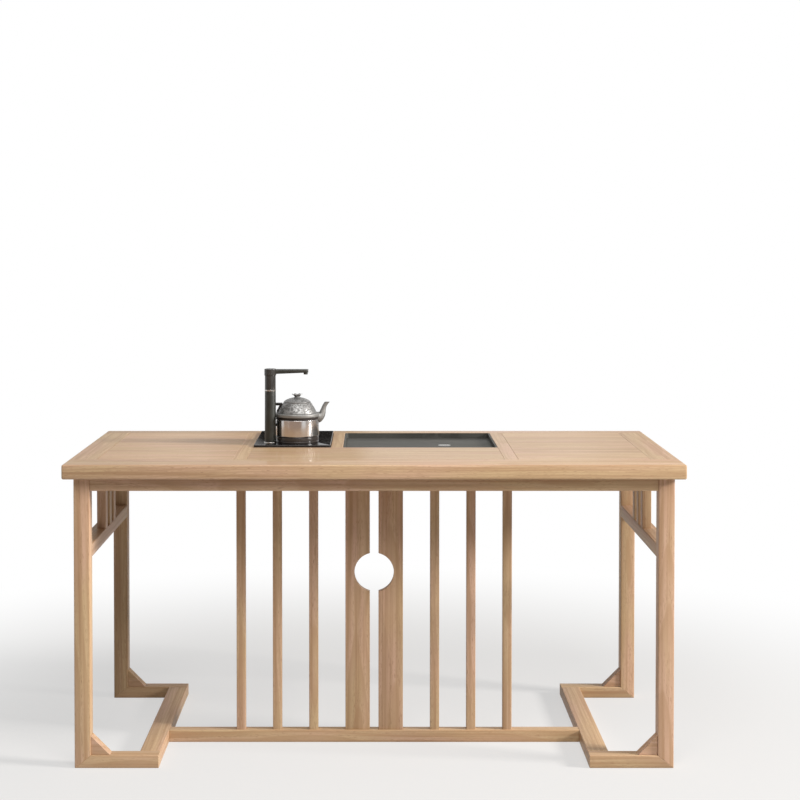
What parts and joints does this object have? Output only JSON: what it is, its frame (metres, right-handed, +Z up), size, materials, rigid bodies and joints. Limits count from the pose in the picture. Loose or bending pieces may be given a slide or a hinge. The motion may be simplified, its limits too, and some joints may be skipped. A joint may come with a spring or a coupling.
{
  "type": "tea table",
  "caption": "Oak tea table on a slatted frame with C-shaped feet, a let-in stone tray with a drain, and a built-in stove with a swivelling water arm and a lidded kettle.",
  "frame": {"origin": "on the floor, under the middle of the tabletop", "axes": "+X along the length, towards the right as the guests see it; -Y towards the guests; +Z up"},
  "size_m": [1.52, 0.7, 0.953],
  "materials": {
    "oak_top": "light oak, clear gloss lacquer",
    "oak_frame": "light oak, clear satin lacquer",
    "tray_stone": "honed dark slate",
    "black_glass": "black toughened glass, polished",
    "housing_metal": "black powder coat",
    "strainer_steel": "satin",
    "drain_plastic": "moulded",
    "pump_plastic": "moulded",
    "board_plastic": "laminate",
    "column_metal": "dark gunmetal, satin",
    "ring_chrome": "polished",
    "heater_plastic": "gloss black",
    "kettle_steel": "polished",
    "kettle_cast": "grey cast relief, satin",
    "handle_plastic": "moulded",
    "screw_steel": "zinc plated"
  },
  "bodies": {
    "table": {"apron_front": "oak_frame", "apron_left": "oak_frame", "apron_rear": "oak_frame", "apron_right": "oak_frame", "apron_screws": "screw_steel", "cable_gland": "pump_plastic", "column_rings": "ring_chrome", "control_board": "board_plastic", "corner_block_front_left": "oak_frame", "corner_block_front_right": "oak_frame", "corner_block_rear_left": "oak_frame", "corner_block_rear_right": "oak_frame", "drain_spigot": "drain_plastic", "drain_strainer": "strainer_steel", "end_rail_left": "oak_frame", "end_rail_right": "oak_frame", "end_slats_left": "oak_frame", "end_slats_right": "oak_frame", "foot_front_left": "oak_frame", "foot_front_right": "oak_frame", "foot_rear_left": "oak_frame", "foot_rear_right": "oak_frame", "heater_base": "heater_plastic", "leg_front_left": "oak_frame", "leg_front_right": "oak_frame", "leg_rear_left": "oak_frame", "leg_rear_right": "oak_frame", "pump_column": "column_metal", "runner_left": "oak_frame", "runner_right": "oak_frame", "screen_board_left": "oak_frame", "screen_board_right": "oak_frame", "screen_slat_left_1": "oak_frame", "screen_slat_left_2": "oak_frame", "screen_slat_left_3": "oak_frame", "screen_slat_right_1": "oak_frame", "screen_slat_right_2": "oak_frame", "screen_slat_right_3": "oak_frame", "screen_top_rail": "oak_frame", "stone_tray": "tray_stone", "stove_glass": "black_glass", "stove_housing": "housing_metal", "stretcher": "oak_frame", "top_cross_rail_left": "oak_top", "top_cross_rail_middle": "oak_top", "top_cross_rail_right": "oak_top", "top_end_rail_left": "oak_top", "top_end_rail_right": "oak_top", "top_front_rail": "oak_top", "top_panel_front": "oak_top", "top_panel_left": "oak_top", "top_panel_right": "oak_top", "top_rear_rail": "oak_top", "water_pump": "pump_plastic"},
    "arm": {"water_arm": "column_metal"},
    "kettle": {"kettle_body": "kettle_steel", "kettle_shoulder": "kettle_cast", "kettle_spout": "kettle_cast", "kettle_handle": "handle_plastic"},
    "lid": {"kettle_lid": "kettle_cast"}
  },
  "joints": [
    {"name": "arm_swivel", "type": "hinge", "parent": "table", "child": "arm", "pos_m": [-0.276, 0.032, 0.935], "axis": [0, 0, 1], "range_deg": [-90, 90]},
    {"name": "kettle_lift", "type": "slide", "parent": "table", "child": "kettle", "axis": [0.8, 0, 0.6], "range_m": [0, 0.25]},
    {"name": "lid_lift", "type": "slide", "parent": "kettle", "child": "lid", "axis": [0, 0, 1], "range_m": [0, 0.045]}
  ]
}
